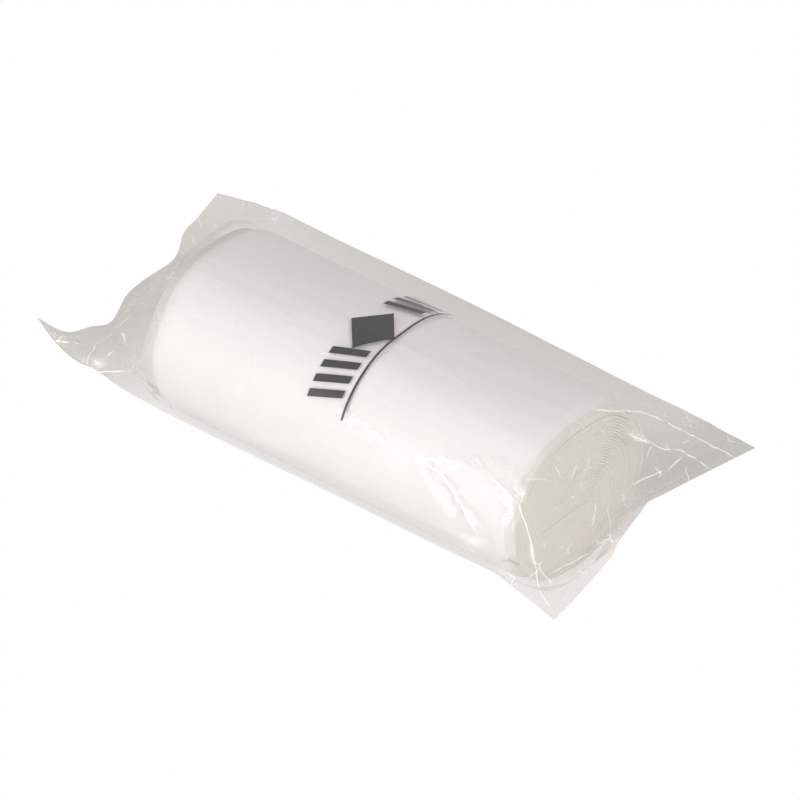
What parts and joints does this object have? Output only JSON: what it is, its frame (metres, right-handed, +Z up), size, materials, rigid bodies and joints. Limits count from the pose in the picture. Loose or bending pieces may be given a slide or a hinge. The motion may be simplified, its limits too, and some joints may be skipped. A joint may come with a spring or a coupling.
{
  "type": "bin bag roll",
  "caption": "Coreless roll of white bin liners in a clear film pouch, welded across both ends, lying on its side.",
  "frame": {"origin": "on the floor under the middle of the roll, in the middle of the pouch's flat underside", "axes": "+X along the roll towards the short-finned end, +Y across the roll towards the raised crease, +Z up"},
  "size_m": [0.212, 0.098, 0.0594],
  "materials": {
    "liner_film": "white translucent thin polyethylene, softly creased, satin",
    "clear_film": "clear slightly grey polyethylene film, glossy, creased and gathered at the welds",
    "print_ink": "dark grey flexographic print on the film"
  },
  "bodies": {
    "root": {"liner_roll": "liner_film", "film_pouch": "clear_film", "print_marks": "print_ink"}
  },
  "joints": []
}
